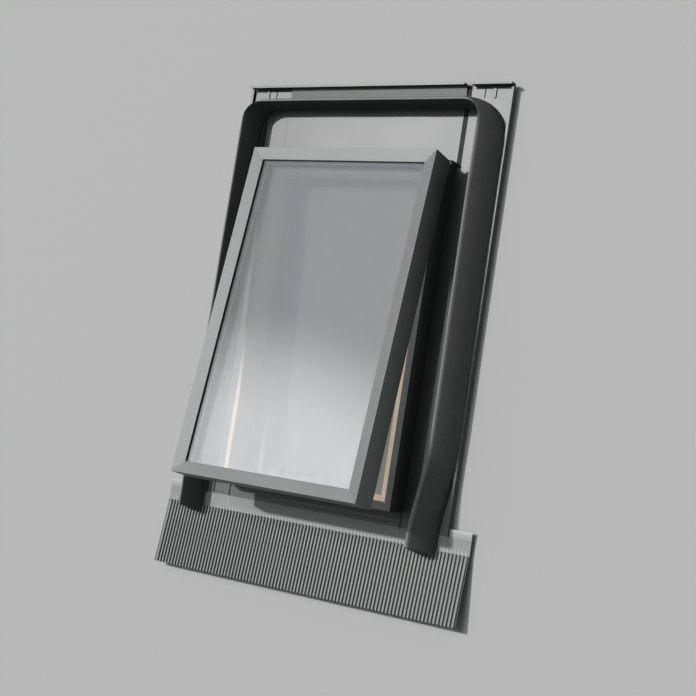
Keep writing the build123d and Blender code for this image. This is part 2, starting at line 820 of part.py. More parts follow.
def opened_point(point):
    turn = radians(-sash_opening)
    dy, dz = point[1] - hinge_y, point[2] - hinge_level
    y = hinge_y + dy * cos(turn) - dz * sin(turn)
    z = hinge_level + dy * sin(turn) + dz * cos(turn)
    return (point[0], y, z)


pivot = opened_point(pivot_closed)
hook_angle = 4.5  # degrees that the bar swings towards the sill to take the peg
peg_y = sill_y + sill_thickness


def bracket_screw_points():
    y = (bracket_start + sash_low + core_inner) / 2
    return [(shift, y) for shift in (-bracket_width * 0.35, bracket_width * 0.35)]


def stay_bracket():
    z1 = sash_top - core_under
    x, y, z = pivot_closed
    half = bracket_width / 2
    ear_half = stay_knuckle / 2 + 0.5
    bracket = box(-half, half, bracket_start, y + ear_half, z1 - bracket_sheet, z1)
    for side in (-1, 1):
        ear = box(side * ear_inner, side * (ear_inner + ear_thickness), y - ear_half, y + ear_half,
                  z - ear_half, z1 - bracket_sheet / 2)
        bracket += fillet(ear.edges().filter_by(Axis.X).group_by(Axis.Z)[0], ear_half * 0.8)
    bracket -= cylinder((-far, y, z), (far, y, z), stay_pin)
    for sx, sy in bracket_screw_points():
        bracket -= cylinder((sx, sy, z1 - far), (sx, sy, z1 + 1), bracket_screw)
    return bracket


def stay_pin_piece():
    x, y, z = pivot_closed
    reach = ear_inner + ear_thickness
    pin = cylinder((-reach - 1.5, y, z), (reach + 1.5, y, z), stay_pin)
    for side in (-1, 1):
        pin += cylinder((side * reach, y, z), (side * (reach + 1.5), y, z), stay_pin + 3)
    return pin


def stay_holes():
    """Distances of the holes from the pivot: the first fits the peg with the sash closed."""
    last = (pivot[2] - peg_level) / cos(radians(hook_angle))
    first = (pivot_closed[2] - peg_level) / cos(radians(sash_opening - hook_angle))
    count = 4
    return [first + (last - first) * number / (count - 1) for number in range(count)]


def stay_bar():
    x, y, z = pivot
    half = stay_width / 2
    t = stay_thickness / 2
    blade = box(-half, half, y - t, y + t, z - stay_length, z)
    blade = fillet(blade.edges().filter_by(Axis.Y).group_by(Axis.Z)[0], half * 0.9)
    blade -= cylinder((-far, y, z), (far, y, z), stay_knuckle - 1)
    bar = blade + cylinder((-half, y, z), (half, y, z), stay_knuckle)
    bar -= cylinder((-far, y, z), (far, y, z), stay_pin + 2 * hinge_clearance)
    for distance in stay_holes():
        bar -= cylinder((0, y - far, z - distance), (0, y + far, z - distance),
                        peg_diameter + 2 * stay_hole_clearance)
    return bar


def stay_peg():
    half = peg_plate / 2
    plate = box(-half, half, peg_y, peg_y + bracket_sheet, peg_level - half * 0.8, peg_level + half * 0.8)
    peg = cylinder((0, peg_y, peg_level), (0, peg_y + peg_reach, peg_level), peg_diameter)
    peg = chamfer(peg.edges().sort_by(Axis.Y)[-1], 0.8)
    for sx, sz in peg_screw_points():
        plate -= cylinder((sx, peg_y - 1, sz), (sx, peg_y + far, sz), bracket_screw)
    return plate + peg


def peg_screw_points():
    shift = peg_plate * 0.34
    return [(-shift, peg_level), (shift, peg_level)]


screw_rise = 1.6
screw_head = 6.5
leaf_screw_length = 16.0
peg_screw_length = 18.0


def hardware():
    """Fixed hardware, and the sash's own hardware still drawn closed."""
    fixed, moving = {}, {}
    under = sash_top - core_under
    leaf_outer = frame_leaf_face + hinge_leaf
    frame_screws, sash_screws = [], []
    leaves = {}
    for name, x in (("left", -hinge_place), ("right", hinge_place)):
        leaves["hinge_frame_leaf_" + name] = frame_leaf(x)
        leaves["hinge_sash_leaf_" + name] = sash_leaf(x)
        fixed["hinge_pin_" + name] = hinge_pin_at(x)
    for x, z in leaf_screw_points():
        ends = ((x, leaf_outer, z), (x, leaf_outer - leaf_screw_length, z))
        frame_screws.append(pan_screw(*ends, hinge_screw, screw_head, screw_rise))
    for x, y in hinge_screw_points():
        ends = ((x, y, under - hinge_leaf), (x, y, under + core_thickness * 0.8))
        sash_screws.append(countersunk(*ends, hinge_screw, screw_head, hinge_leaf * 0.9))
    for x, y in bracket_screw_points():
        ends = ((x, y, under - bracket_sheet), (x, y, under + core_thickness * 0.8))
        sash_screws.append(pan_screw(*ends, bracket_screw, screw_head * 0.85, screw_rise))
    for x, z in peg_screw_points():
        ends = ((x, peg_y + bracket_sheet, z), (x, peg_y + bracket_sheet - peg_screw_length, z))
        frame_screws.append(pan_screw(*ends, bracket_screw, screw_head * 0.85, screw_rise))
    for name, leaf in leaves.items():
        if "frame" in name:
            for x, z in leaf_screw_points():
                leaf -= cylinder((x, head_y, z), (x, far, z), hinge_screw)
            fixed[name] = leaf
        else:
            for x, y in hinge_screw_points():
                leaf -= screw_hole((x, y, under - hinge_leaf), (x, y, under + 1), hinge_screw, screw_head,
                                   hinge_leaf * 0.9)
            moving[name] = leaf
    fixed["frame_hardware_screws"] = group(frame_screws)
    moving["sash_hardware_screws"] = group(sash_screws)
    moving["stay_bracket"] = stay_bracket()
    moving["stay_pin"] = stay_pin_piece()
    fixed["stay_peg"] = stay_peg()
    return fixed, moving


def drill(pieces):
    """The holes in boards and sheets that the hinge and peg screws pass through."""
    leaf_outer = frame_leaf_face + hinge_leaf
    for x, z in leaf_screw_points():
        bore = cylinder((x, leaf_outer, z), (x, leaf_outer - leaf_screw_length, z), hinge_screw)
        for name in ("frame_head", "frame_cladding_head", "head_flashing"):
            pieces[name] -= bore
    for x, z in peg_screw_points():
        start = peg_y + bracket_sheet
        pieces["frame_sill"] -= cylinder((x, start, z), (x, start - peg_screw_length, z), bracket_screw)


def build():
    pieces = {}
    pieces.update(timber_frame())
    pieces.update(cladding())
    pieces.update(flashing())
    pieces["foam_gasket"] = foam_gasket()
    pieces["corner_plug_right"] = corner_plug()
    pieces["corner_plug_left"] = mirrored(corner_plug())
    fixed, moving = hardware()
    pieces.update(fixed)
    drill(pieces)
    for sash in (sash_covers(), sash_cores(), glazing(), moving):
        pieces.update({name: opened(shape) for name, shape in sash.items()})
    pieces["stay_bar"] = stay_bar()
    return pieces


os.makedirs("parts", exist_ok=True)
for name, shape in build().items():
    export_step(shape, os.path.join("parts", name + ".step"))
    print(name, len(shape.solids()), round(shape.volume), "mm3")
print("pivot", [round(c, 2) for c in pivot], "holes", [round(d, 2) for d in stay_holes()])
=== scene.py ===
import json
import math

import bpy
import numpy as np
from mathutils import Matrix, Vector


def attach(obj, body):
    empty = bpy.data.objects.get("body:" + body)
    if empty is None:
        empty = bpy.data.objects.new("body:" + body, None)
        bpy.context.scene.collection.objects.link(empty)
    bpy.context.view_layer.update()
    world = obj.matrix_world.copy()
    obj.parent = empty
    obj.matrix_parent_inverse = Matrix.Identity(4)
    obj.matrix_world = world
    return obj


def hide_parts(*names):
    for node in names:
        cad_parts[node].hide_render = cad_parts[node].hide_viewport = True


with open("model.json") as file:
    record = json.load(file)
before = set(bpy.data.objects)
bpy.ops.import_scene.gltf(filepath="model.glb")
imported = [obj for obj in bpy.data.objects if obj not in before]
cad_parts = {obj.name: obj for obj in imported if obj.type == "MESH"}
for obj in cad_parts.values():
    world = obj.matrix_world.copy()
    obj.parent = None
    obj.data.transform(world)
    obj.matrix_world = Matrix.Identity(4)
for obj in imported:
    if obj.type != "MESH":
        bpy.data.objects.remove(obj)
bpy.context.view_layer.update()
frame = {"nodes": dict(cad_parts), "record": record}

# Lengths are in metres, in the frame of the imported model
scene = bpy.context.scene
scene.view_settings.view_transform = "Standard"
print("frame loaded:", len(frame["nodes"]), "nodes")

# The angle from which the skylight is seen leaning back
cameraSpot = {
    "place": (1.70182, -0.26386, 2.62372),
    "right": (0.838870, 0.154077, -0.522071),
    "up": (-0.089698, 0.985120, 0.146607),
    "lens": 69.18,            # mm, on a sensor of the next width
    "sensor": 36.0,
    "farthest": 60.0,
}


# The camera's turn has its right and up ways as columns, and their cross product, which points back
def aimCamera(spot):
    right, up = Vector(spot["right"]), Vector(spot["up"])
    turn = Matrix((right, up, right.cross(up))).transposed().to_4x4()
    data = bpy.data.cameras.new("viewCamera")
    data.lens = spot["lens"]
    data.sensor_width = spot["sensor"]
    data.clip_end = spot["farthest"]
    camera = bpy.data.objects.new("viewCamera", data)
    camera.matrix_world = Matrix.Translation(spot["place"]) @ turn
    scene.collection.objects.link(camera)
    scene.camera = camera


aimCamera(cameraSpot)

# One sun from the upper left, and a dim sky with bright patches that glass and paint mirror
daylight = {
    "sunFrom": (-0.57, 0.31, 1.0),
    "sunStrength": 3.0,
    "sunAngle": 1.6,          # degrees across
    "skyColour": (0.90, 0.93, 0.97),
    "skyStrength": 0.19,
    "seenStrength": 0.50,     # where the camera, a mirror or glass looks at the sky itself
    # a glow is full, and then nothing, at these cosines of the angle from its middle
    "glows": (
        {"from": (-0.22, 0.31, 0.92), "strength": 5.6, "full": 0.988, "none": 0.958,
         "colour": (1.0, 1.0, 1.0)},
        {"from": (-0.57, 0.32, 0.757), "strength": 0.50, "full": 0.985, "none": 0.930,
         "colour": (0.94, 0.96, 1.0)},
        {"from": (-0.58, 0.10, 0.809), "strength": 1.16, "full": 0.991, "none": 0.973,
         "colour": (1.0, 1.0, 0.98)},
    ),
}


# One shader node: inputs are values or the sockets that feed it, and options are the node's own settings
def addNode(tree, kind, inputs=(), **options):
    made = tree.nodes.new(kind)
    for key, value in options.items():
        setattr(made, key, value)
    for key, value in dict(inputs).items():
        if isinstance(value, bpy.types.NodeSocket):
            tree.links.new(value, made.inputs[key])
        else:
            made.inputs[key].default_value = value
    return made


# The sky is the plain colour plus every glow, whose strength is a smooth step of the cosine between the
# way looked at and the glow's middle
def lightTheSkylight(light):
    lamp = bpy.data.lights.new("lowSun", "SUN")
    lamp.energy = light["sunStrength"]
    lamp.angle = math.radians(light["sunAngle"])
    sun = bpy.data.objects.new("lowSun", lamp)
    sun.rotation_mode = "QUATERNION"
    sun.rotation_quaternion = Vector(light["sunFrom"]).to_track_quat("Z", "Y")
    scene.collection.objects.link(sun)
    sky = bpy.data.worlds.new("softSky")
    scene.world = sky
    sky.use_nodes = True
    tree = sky.node_tree
    tree.nodes.clear()
    way = addNode(tree, "ShaderNodeTexCoord").outputs["Generated"]
    path = addNode(tree, "ShaderNodeLightPath").outputs
    seen = path["Is Camera Ray"]
    for kind in ("Is Glossy Ray", "Is Transmission Ray"):
        seen = addNode(tree, "ShaderNodeMath", {0: seen, 1: path[kind]}, operation="MAXIMUM").outputs[0]
    level = addNode(tree, "ShaderNodeMapRange", {"Value": seen, "To Min": light["skyStrength"],
                                                 "To Max": light["seenStrength"]}).outputs["Result"]
    plain = {"Color": (*light["skyColour"], 1), "Strength": level}
    total = addNode(tree, "ShaderNodeBackground", plain).outputs[0]
    for glow in light["glows"]:
        middle = Vector(glow["from"]).normalized()
        toward = addNode(tree, "ShaderNodeVectorMath", {0: way, 1: middle}, operation="DOT_PRODUCT")
        reach = {"Value": toward.outputs["Value"], "From Min": glow["none"], "From Max": glow["full"],
                 "To Max": glow["strength"]}
        share = addNode(tree, "ShaderNodeMapRange", reach, interpolation_type="SMOOTHSTEP")
        patch = {"Color": (*glow["colour"], 1), "Strength": share.outputs["Result"]}
        bright = addNode(tree, "ShaderNodeBackground", patch).outputs[0]
        total = addNode(tree, "ShaderNodeAddShader", {0: total, 1: bright}).outputs[0]
    addNode(tree, "ShaderNodeOutputWorld", {"Surface": total})


lightTheSkylight(daylight)

floorLook = {"half": 9.0, "level": -0.0003, "colour": (0.350, 0.350, 0.346), "roughness": 0.9}


# One square, just below the underside of the frame
def layFloor(look):
    half, level = look["half"], look["level"]
    corners = [(-half, -half, level), (half, -half, level), (half, half, level), (-half, half, level)]
    data = bpy.data.meshes.new("paleFloor")
    data.from_pydata(corners, [], [(0, 1, 2, 3)])
    floor = bpy.data.objects.new("paleFloor", data)
    scene.collection.objects.link(floor)
    material = bpy.data.materials.new("floorPaint")
    material.use_nodes = True
    shader = material.node_tree.nodes["Principled BSDF"]
    shader.inputs["Base Color"].default_value = (*look["colour"], 1)
    shader.inputs["Roughness"].default_value = look["roughness"]
    data.materials.append(material)


layFloor(floorLook)
print("camera, light and floor set")


# A new material with its shader, and the Object coordinates that every pattern reads. Scales in the
# dictionaries below are per metre, and depths are in metres.
def startFinish(name):
    material = bpy.data.materials.new(name)
    material.use_nodes = True
    tree = material.node_tree
    where = addNode(tree, "ShaderNodeTexCoord").outputs["Object"]
    return material, tree, tree.nodes["Principled BSDF"], where


# Soft noise from 0 to 1
def noiseAt(tree, where, scale, detail=2.0, roughness=0.5):
    inputs = {"Vector": where, "Scale": scale, "Detail": detail, "Roughness": roughness}
    return addNode(tree, "ShaderNodeTexNoise", inputs).outputs["Fac"]


# A straight line from one range to another, held at both ends
def spread(tree, value, low, high, fromLow=0.3, fromHigh=0.7):
    inputs = {"Value": value, "From Min": fromLow, "From Max": fromHigh, "To Min": low, "To Max": high}
    return addNode(tree, "ShaderNodeMapRange", inputs).outputs["Result"]


# Two numbers put together by one operation
def reckon(tree, operation, first, second, **options):
    return addNode(tree, "ShaderNodeMath", {0: first, 1: second}, operation=operation, **options).outputs[0]


# From the first colour to the second as share goes from 0 to 1; either may be a socket
def blendColours(tree, share, first, second):
    start, end = [(*colour, 1) if isinstance(colour, tuple) else colour for colour in (first, second)]
    return addNode(tree, "ShaderNodeMix", {0: share, 6: start, 7: end}, data_type="RGBA").outputs[2]


# Bump: height times depth, on top of another bump where below is given
def bumpOut(tree, height, depth, below=None, strength=1.0):
    inputs = {"Height": height, "Distance": depth, "Strength": strength}
    if below is not None:
        inputs["Normal"] = below
    return addNode(tree, "ShaderNodeBump", inputs).outputs["Normal"]


# Painted sheet or profile: slow noise moves tone and gloss, and a powder grain lies over slow waves
def coatedMetal(name, look):
    material, tree, shader, where = startFinish(name)
    slow = noiseAt(tree, where, look["toneScale"], detail=3.0, roughness=0.6)
    tone = blendColours(tree, spread(tree, slow, 0.0, 1.0), look["dark"], look["light"])
    tree.links.new(tone, shader.inputs["Base Color"])
    tree.links.new(spread(tree, slow, *look["gloss"]), shader.inputs["Roughness"])
    waves = bumpOut(tree, noiseAt(tree, where, look["waveScale"], detail=1.0), look["waveDepth"])
    grain = bumpOut(tree, noiseAt(tree, where, look["grainScale"]), look["grainDepth"], waves)
    tree.links.new(grain, shader.inputs["Normal"])
    shader.inputs["Metallic"].default_value = look["metal"]
    shader.inputs["Specular IOR Level"].default_value = look["shine"]
    return material


sashPaint = {"dark": (0.126, 0.129, 0.127), "light": (0.144, 0.147, 0.145), "toneScale": 6.0,
             "grainScale": 1500.0, "grainDepth": 0.00003, "gloss": (0.45, 0.48), "waveScale": 4.0,
             "waveDepth": 0.0002, "shine": 0.5, "metal": 0.34}
sheetPaint = {"dark": (0.060, 0.062, 0.060), "light": (0.072, 0.074, 0.072), "toneScale": 5.0,
              "grainScale": 1200.0, "grainDepth": 0.00002, "gloss": (0.39, 0.42), "waveScale": 7.0,
              "waveDepth": 0.0004, "shine": 0.36, "metal": 0.0}
apronPaint = {**sheetPaint, "dark": (0.170, 0.174, 0.170), "light": (0.200, 0.204, 0.199)}
# A paler copy of the sheet paint, as painted highlight on the apron's folded ends
hemHighlightPaint = {**sheetPaint, "dark": (0.300, 0.306, 0.300), "light": (0.340, 0.346, 0.339)}
claddingPaint = {"dark": (0.085, 0.088, 0.086), "light": (0.100, 0.103, 0.101), "toneScale": 5.0,
                 "grainScale": 500.0, "grainDepth": 0.000004, "gloss": (0.38, 0.48), "waveScale": 5.0,
                 "waveDepth": 0.0002, "shine": 0.3, "metal": 0.0}
corePaint = {"dark": (0.018, 0.018, 0.018), "light": (0.028, 0.028, 0.028), "toneScale": 6.0,
             "grainScale": 500.0, "grainDepth": 0.000004, "gloss": (0.40, 0.50), "waveScale": 4.0,
             "waveDepth": 0.0001, "shine": 0.4, "metal": 0.0}
spacerPaint = {"dark": (0.30, 0.31, 0.31), "light": (0.40, 0.41, 0.41), "toneScale": 20.0,
               "grainScale": 900.0, "grainDepth": 0.00004, "gloss": (0.35, 0.5), "waveScale": 20.0,
               "waveDepth": 0.0001, "shine": 0.5, "metal": 0.6}

sashGrey = coatedMetal("sashGrey", sashPaint)
sheetGrey = coatedMetal("sheetGrey", sheetPaint)
apronGrey = coatedMetal("apronGrey", apronPaint)
hemHighlightGrey = coatedMetal("hemHighlightGrey", hemHighlightPaint)
claddingGrey = coatedMetal("claddingGrey", claddingPaint)
coreGrey = coatedMetal("coreGrey", corePaint)
spacerGrey = coatedMetal("spacerGrey", spacerPaint)

# Painted shade for the gaps between the apron's ridges
pleatShade = {"gapShade": (0.025, 0.025, 0.024), "from": 0.15, "to": 0.75}


# Painted shade: between the ridges the base colour falls to nearly black, standing in for the shade in the
# pleats' gaps; the mesh brings its ridge height from 0 to 1 as the attribute "rise"
def paintPleatGapShade(material, shade):
    tree = material.node_tree
    shader = tree.nodes["Principled BSDF"]
    rise = addNode(tree, "ShaderNodeAttribute", attribute_name="rise").outputs["Fac"]
    paint = shader.inputs["Base Color"].links[0].from_socket
    share = spread(tree, rise, 0.0, 1.0, shade["from"], shade["to"])
    tree.links.new(blendColours(tree, share, shade["gapShade"], paint), shader.inputs["Base Color"])


paintPleatGapShade(apronGrey, pleatShade)

zincLook = {"dark": (0.12, 0.12, 0.118), "light": (0.18, 0.18, 0.176), "spangle": 260.0,
            "gloss": (0.48, 0.60), "scratchScale": 900.0, "scratchDepth": 0.00003}


# Zinc plate: the grey of each small crystal sets tone and gloss, under fine scratches
def zincSteel(name, look):
    material, tree, shader, where = startFinish(name)
    crystal = addNode(tree, "ShaderNodeTexVoronoi", {"Vector": where, "Scale": look["spangle"]})
    grey = addNode(tree, "ShaderNodeRGBToBW", {"Color": crystal.outputs["Color"]}).outputs[0]
    tree.links.new(blendColours(tree, grey, look["dark"], look["light"]), shader.inputs["Base Color"])
    tree.links.new(spread(tree, grey, *look["gloss"], 0.0, 1.0), shader.inputs["Roughness"])
    scratches = noiseAt(tree, where, look["scratchScale"])
    tree.links.new(bumpOut(tree, scratches, look["scratchDepth"]), shader.inputs["Normal"])
    shader.inputs["Metallic"].default_value = 1.0
    return material


zincPlate = zincSteel("zincPlate", zincLook)

rubberLook = {"dark": (0.010, 0.010, 0.010), "light": (0.020, 0.020, 0.020), "gloss": (0.55, 0.70),
              "toneScale": 40.0, "grainScale": 600.0, "grainDepth": 0.00001, "shine": 0.15}


# Rubber: slow noise moves tone and gloss, under a fine grain
def blackRubber(name, look):
    material, tree, shader, where = startFinish(name)
    slow = noiseAt(tree, where, look["toneScale"], detail=3.0)
    tone = blendColours(tree, spread(tree, slow, 0.0, 1.0), look["dark"], look["light"])
    tree.links.new(tone, shader.inputs["Base Color"])
    tree.links.new(spread(tree, slow, *look["gloss"]), shader.inputs["Roughness"])
    grain = noiseAt(tree, where, look["grainScale"])
    tree.links.new(bumpOut(tree, grain, look["grainDepth"]), shader.inputs["Normal"])
    shader.inputs["Specular IOR Level"].default_value = look["shine"]
    return material


gasketRubber = blackRubber("gasketRubber", rubberLook)

# The crest colour is a painted highlight along the foam's top
foamLook = {"dark": (0.052, 0.052, 0.052), "light": (0.084, 0.084, 0.082), "cellScale": 750.0,
            "coarseShare": 0.35, "pits": (0.5, 1.2), "cellDepth": 0.0003, "cellStrength": 0.6,
            "lumpScale": 22.0, "lumpDepth": 0.0010, "crestHighlightFrom": 0.0745, "crestHighlightTo": 0.0782,
            "crest": (0.18, 0.18, 0.175), "roughness": 0.92, "shine": 0.25}


# Foam: the distance to a cell's middle plus coarser noise is painted darker in the pits as painted shade,
# over soft lumps. Near the top, by height, it blends into a paler crest, a painted highlight where the sun
# catches the ridge.
def openFoam(name, look):
    material, tree, shader, where = startFinish(name)
    cells = addNode(tree, "ShaderNodeTexVoronoi", {"Vector": where, "Scale": look["cellScale"]},
                    feature="F1").outputs["Distance"]
    coarse = noiseAt(tree, where, look["cellScale"] * look["coarseShare"], detail=4.0, roughness=0.7)
    both = reckon(tree, "ADD", cells, coarse)
    # Painted shade: the pits are darker than the cell rims
    tone = blendColours(tree, spread(tree, both, 0.0, 1.0, *look["pits"]), look["dark"], look["light"])
    level = addNode(tree, "ShaderNodeSeparateXYZ", {0: where}).outputs["Z"]
    # Painted highlight: above this height the foam turns to the paler crest colour
    mask = spread(tree, level, 0.0, 1.0, look["crestHighlightFrom"], look["crestHighlightTo"])
    tree.links.new(blendColours(tree, mask, tone, look["crest"]), shader.inputs["Base Color"])
    lumps = bumpOut(tree, noiseAt(tree, where, look["lumpScale"]), look["lumpDepth"])
    pits = bumpOut(tree, both, look["cellDepth"], lumps, look["cellStrength"])
    tree.links.new(pits, shader.inputs["Normal"])
    shader.inputs["Roughness"].default_value = look["roughness"]
    shader.inputs["Specular IOR Level"].default_value = look["shine"]
    return material


foamGrey = openFoam("foamGrey", foamLook)

pineLook = {"early": (0.97, 0.77, 0.58), "late": (0.84, 0.60, 0.41), "ringScale": 34.0, "rings": (0.05, 0.62),
            "stretch": 0.07, "twist": 2.2, "fibreScale": 420.0, "fibreDepth": 0.00012, "flecks": 0.35,
            "gloss": (0.50, 0.66)}


# Planed pine: slanting bands, drawn out along the board and bent by noise, with fine fibres that fleck
# the tone the other way round and rise a little
def pineBoard(name, look, along):
    material, tree, shader, where = startFinish(name)
    squeeze = [look["stretch"] if axis == along else 1.0 for axis in "XYZ"]
    laid = addNode(tree, "ShaderNodeMapping", {"Vector": where, "Scale": squeeze}).outputs[0]
    bands = {"Vector": laid, "Scale": look["ringScale"], "Distortion": look["twist"], "Detail": 3.0,
             "Detail Scale": 1.4}
    rings = addNode(tree, "ShaderNodeTexWave", bands, bands_direction="DIAGONAL").outputs["Fac"]
    fibres = noiseAt(tree, laid, look["fibreScale"], detail=3.0, roughness=0.6)
    tone = blendColours(tree, spread(tree, rings, *look["rings"], 0.0, 1.0), look["early"], look["late"])
    flecks = blendColours(tree, spread(tree, fibres, 0.0, 1.0), look["late"], look["early"])
    tree.links.new(blendColours(tree, look["flecks"], tone, flecks), shader.inputs["Base Color"])
    tree.links.new(spread(tree, fibres, *look["gloss"]), shader.inputs["Roughness"])
    tree.links.new(bumpOut(tree, fibres, look["fibreDepth"]), shader.inputs["Normal"])
    return material


pineUp = pineBoard("pineUp", pineLook, "Y")
pineAcross = pineBoard("pineAcross", pineLook, "X")

paneLook = {"clear": (0.86, 0.865, 0.865), "mirror": (0.98, 0.985, 1.0), "headOn": 0.125, "slantPower": 5.0,
            "smooth": 0.0, "dustScale": 60.0, "dust": 0.012}


# Glass: part of the light goes straight through and the rest is mirrored. The mirrored share is the
# slant to a power, plus the head-on share, plus faint dust.
def clearPane(name, look):
    material, tree, shader, where = startFinish(name)
    tree.nodes.remove(shader)
    slant = addNode(tree, "ShaderNodeLayerWeight", {"Blend": 0.5}).outputs["Facing"]
    grazing = reckon(tree, "POWER", slant, look["slantPower"])
    specks = noiseAt(tree, where, look["dustScale"], detail=4.0, roughness=0.65)
    headOn = reckon(tree, "ADD", spread(tree, specks, 0.0, look["dust"]), look["headOn"])
    share = reckon(tree, "ADD", grazing, headOn, use_clamp=True)
    through = addNode(tree, "ShaderNodeBsdfTransparent", {"Color": (*look["clear"], 1)}).outputs[0]
    mirror = addNode(tree, "ShaderNodeBsdfGlossy", {"Color": (*look["mirror"], 1),
                                                    "Roughness": look["smooth"]}).outputs[0]
    mixed = addNode(tree, "ShaderNodeMixShader", {0: share, 1: through, 2: mirror}).outputs[0]
    tree.links.new(mixed, tree.nodes["Material Output"].inputs["Surface"])
    return material


paneGlass = clearPane("paneGlass", paneLook)

# The finish of each material slot in the record; the jambs' grain runs the other way
finishes = {
    "pine": pineAcross,
    "dark_cladding": claddingGrey,
    "grey_sheet": sheetGrey,
    "sash_paint": sashGrey,
    "core_profile": coreGrey,
    "foam": foamGrey,
    "black_rubber": gasketRubber,
    "pane_glass": paneGlass,
    "spacer": spacerGrey,
    "zinc_steel": zincPlate,
    "block_plastic": gasketRubber,
}
ownFinishes = {"frame_jamb_left": pineUp, "frame_jamb_right": pineUp}


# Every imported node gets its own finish, or else that of its slot
def dressNodes():
    for part in frame["record"]["subparts"]:
        name = part["node"]
        slots = frame["nodes"][name].data.materials
        slots.clear()
        slots.append(ownFinishes.get(name, finishes[part["material_slot"]]))


dressNodes()
print("finishes on the packed nodes")

# Widths of the rounded edges
roundings = {
    "sash_cover_left": 0.0010, "sash_cover_right": 0.0010, "sash_cover_bottom": 0.0010,
    "sash_cover_head": 0.0010, "frame_jamb_left": 0.0012, "frame_jamb_right": 0.0012,
    "frame_sill": 0.0012, "frame_head": 0.0012, "frame_cladding_left": 0.0003,
    "frame_cladding_right": 0.0003, "frame_cladding_head": 0.0003, "frame_cladding_sill": 0.0003,
    "side_flashing_left": 0.00025, "side_flashing_right": 0.00025, "head_flashing": 0.00025,
    "sill_flashing": 0.00025,
}
edgeCare = {"joined": 0.00001, "steps": 2, "sharpFrom": math.radians(35), "flatness": 100}


# Loose triangles are joined, sharp edges are rounded, and the large faces keep their flat shading
def roundEdges(widths, care):
    for name, width in widths.items():
        modifiers = frame["nodes"][name].modifiers
        modifiers.new("closeMesh", "WELD").merge_threshold = care["joined"]
        edge = modifiers.new("softEdge", "BEVEL")
        edge.width = width
        edge.segments = care["steps"]
        edge.limit_method = "ANGLE"
        edge.angle_limit = care["sharpFrom"]
        modifiers.new("flatFaces", "WEIGHTED_NORMAL").weight = care["flatness"]


roundEdges(roundings, edgeCare)
print("edges rounded")


# Faces of a closed form, turned round where the volume that they enclose comes out negative
def turnedOut(points, faces):
    fans = np.array([(face[0], face[i], face[i + 1]) for face in faces for i in range(1, len(face) - 1)])
    a, b, c = points[fans[:, 0]], points[fans[:, 1]], points[fans[:, 2]]
    volume = np.einsum("ij,ij->i", a, np.cross(b, c)).sum() / 6
    return [face[::-1] for face in faces] if volume < 0 else faces


# A new piece with its object at the origin, smooth except where it turns by more than sharp degrees
def makeSkin(name, points, faces, finish, sharp):
    data = bpy.data.meshes.new(name)
    data.from_pydata(points.tolist(), [], faces)
    data.polygons.foreach_set("use_smooth", np.ones(len(faces), dtype=bool))
    data.set_sharp_from_angle(angle=math.radians(sharp))
    data.materials.append(finish)
    made = bpy.data.objects.new(name, data)
    scene.collection.objects.link(made)
    return made


# Faces of a sweep whose points lie section after section: quads between neighbouring sections, and a
# flat face at each open end. A closed sweep joins its last section to its first.
def sweepFaces(sections, around, closed=False):
    row = np.arange(sections if closed else sections - 1)[:, None] * around
    above = (row + around) % (sections * around)
    place = np.arange(around)[None, :]
    after = (place + 1) % around
    quads = np.stack([row + place, row + after, above + after, above + place], axis=2)
    faces = quads.reshape(-1, 4).tolist()
    if not closed:
        last = (sections - 1) * around
        faces += [list(range(around))[::-1], list(range(last, last + around))]
    return faces


# From 0 at start to 1 at end by three times the square less twice the cube, so it is flat at both
def easeIn(value, start, end):
    t = np.clip((value - start) / (end - start), 0.0, 1.0)
    return t * t * (3.0 - 2.0 * t)


# The foam is a U that stands on the sheets, steep inside and sloping outside, with legs that aren't
# quite straight
foamShape = {
    "innerHalf": 0.308, "barInner": 0.5445, "innerRadius": 0.035, "outerRadius": 0.100,
    "legWidth": 0.050, "barWidth": 0.0235, "barFrom": 0.006, "base": 0.0108, "height": 0.068,
    "legLean": 0.010, "barLean": 0.002, "leanPower": 1.85,
    "crestShare": 0.27, "crestRise": 1.008, "slopePowers": (1.5, 0.92), "footShares": (0.66, 0.33),
    "footEnd": -0.459, "crestEnd": -0.449, "slantTo": -0.40,
    "liftFrom": -0.447, "liftTo": -0.4445, "lift": 0.0049,
    "leftFoot": 0.004, "leftLean": 0.009, "rightLean": -0.003,
    "bend": 0.023, "bendFrom": -0.21, "bendTo": -0.43,
    "spread": 0.004, "spreadFrom": 0.40, "spreadTo": -0.20,
    "wobble": 0.0002, "wobbleRates": (31.0, 23.0),
    "legSections": 70, "turnSections": 22, "barSections": 26, "sideRows": 16, "sharp": 40.0,
}


